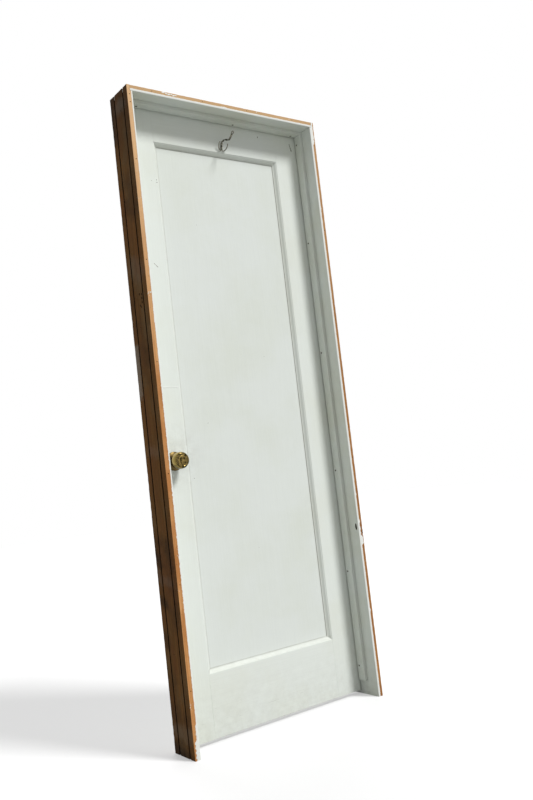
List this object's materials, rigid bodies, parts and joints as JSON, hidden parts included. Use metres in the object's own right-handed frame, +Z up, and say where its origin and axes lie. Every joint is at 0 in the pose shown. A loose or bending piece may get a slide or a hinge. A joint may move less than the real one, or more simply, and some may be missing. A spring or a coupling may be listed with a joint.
{
  "type": "interior door in its frame",
  "caption": "Painted wooden interior door leaf with a single flat panel, hung on butt hinges in its jamb, with stops, brass knob set and a wire coat hook.",
  "frame": {"origin": "middle of the hinge-side jamb's sawn foot, at floor level", "axes": "+Z up; +X from the latch side to the hinge side along the wall; +Y to the side the leaf opens to, -Y to the side with the stops"},
  "size_m": [0.759, 0.175, 2.068],
  "materials": {
    "leaf_paint": "satin white paint on wood",
    "panel_paint": "satin white paint on wood",
    "stop_paint": "aged white paint on wood",
    "jamb_paint": "aged white paint on the faces, bare brown wood on back and edges",
    "knob_brass": "polished brass, aged",
    "hinge_steel": "steel, partly painted over",
    "latch_steel": "plain steel",
    "hook_wire": "dull brass-plated wire"
  },
  "bodies": {
    "frame": {"jamb_hinge_side": "jamb_paint", "jamb_latch_side": "jamb_paint", "head_jamb": "jamb_paint", "stop_latch_side": "stop_paint", "stop_hinge_side": "stop_paint", "stop_head": "stop_paint", "strike_plate": "knob_brass", "hinge_top_jamb_plate": "hinge_steel", "hinge_top_pin": "hinge_steel", "hinge_middle_jamb_plate": "hinge_steel", "hinge_middle_pin": "hinge_steel", "hinge_bottom_jamb_plate": "hinge_steel", "hinge_bottom_pin": "hinge_steel"},
    "leaf": {"stile_latch_side": "leaf_paint", "stile_hinge_side": "leaf_paint", "rail_top": "leaf_paint", "rail_bottom": "leaf_paint", "panel": "panel_paint", "rose_front": "knob_brass", "rose_back": "knob_brass", "latch_faceplate": "knob_brass", "latch_case": "latch_steel", "latch_bolt": "latch_steel", "coat_hook": "hook_wire", "hinge_top_leaf_plate": "hinge_steel", "hinge_middle_leaf_plate": "hinge_steel", "hinge_bottom_leaf_plate": "hinge_steel"},
    "knob": {"knob_front": "knob_brass", "knob_back": "knob_brass", "spindle": "latch_steel"}
  },
  "joints": [
    {"name": "leaf_swing", "type": "hinge", "parent": "frame", "child": "leaf", "pos_m": [-0.012, 0.0675, 0], "axis": [0, 0, -1], "range_deg": [0, 170]},
    {"name": "knob_turn", "type": "hinge", "parent": "leaf", "child": "knob", "pos_m": [-0.6683, 0.043, 0.8795], "axis": [0, 1, 0], "range_deg": [-50, 50], "stiffness_Nm_per_rad": 0.5}
  ]
}
